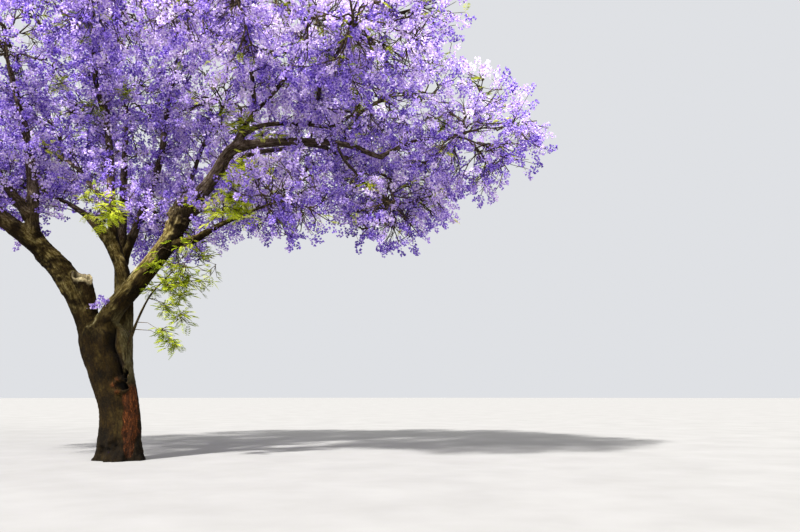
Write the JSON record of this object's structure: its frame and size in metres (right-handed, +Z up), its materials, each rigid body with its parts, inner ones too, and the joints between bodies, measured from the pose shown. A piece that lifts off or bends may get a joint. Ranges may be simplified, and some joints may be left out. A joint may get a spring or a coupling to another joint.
{
  "type": "jacaranda tree",
  "caption": "Mature flowering jacaranda with a leaning flared trunk forking low into arching boughs under a wide open crown of violet blossom and a few young leafy shoots",
  "frame": {"origin": "middle of the flat cut under the trunk, at ground level", "axes": "+Z is up; +X runs along the street side over which the long arching bough reaches, the tree's longest extent; +Y is away from the viewer of the picture"},
  "size_m": [18.1493, 15.0797, 13.9077],
  "materials": {
    "bark": "rough grey-brown fissured bark, redder low on the trunk",
    "blossom": "matt violet-blue flower clusters on fine twigs",
    "leaf": "soft yellow-green young feathery leaves"
  },
  "bodies": {
    "root": {"trunk": "bark", "bough_left": "bark", "bough_right": "bark", "bough_centre": "bark", "bough_back": "bark", "bough_left_riser": "bark", "bough_left_outer": "bark", "bough_left_back": "bark", "bough_left_front": "bark", "bough_centre_riser": "bark", "bough_centre_side": "bark", "bough_front": "bark", "bough_right_upper": "bark", "bough_top": "bark", "bough_right_riser": "bark", "bough_right_back": "bark", "bough_right_low": "bark", "bough_right_arch": "bark", "bough_arch_tip": "bark", "bough_right_top": "bark", "bough_right_front": "bark", "bough_arch_front": "bark", "bough_arch_back": "bark", "bough_arch_low": "bark", "bough_back_right": "bark", "bough_back_low": "bark", "bough_back_left": "bark", "bough_back_inner": "bark", "shoot_right": "bark", "blossom_left": "blossom", "blossom_back": "blossom", "blossom_left_riser": "blossom", "blossom_left_outer": "blossom", "blossom_left_back": "blossom", "blossom_left_front": "blossom", "blossom_centre_riser": "blossom", "blossom_centre_side": "blossom", "blossom_front": "blossom", "blossom_top": "blossom", "blossom_right_riser": "blossom", "blossom_right_back": "blossom", "blossom_right_low": "blossom", "blossom_arch_tip": "blossom", "blossom_right_top": "blossom", "blossom_right_front": "blossom", "blossom_arch_front": "blossom", "blossom_arch_back": "blossom", "blossom_arch_low": "blossom", "blossom_back_right": "blossom", "blossom_back_low": "blossom", "blossom_back_left": "blossom", "blossom_back_inner": "blossom", "leaves_trunk_shoot": "leaf", "leaves_under_arch": "leaf", "leaves_low_bough": "leaf", "leaves_centre": "leaf"}
  },
  "joints": []
}
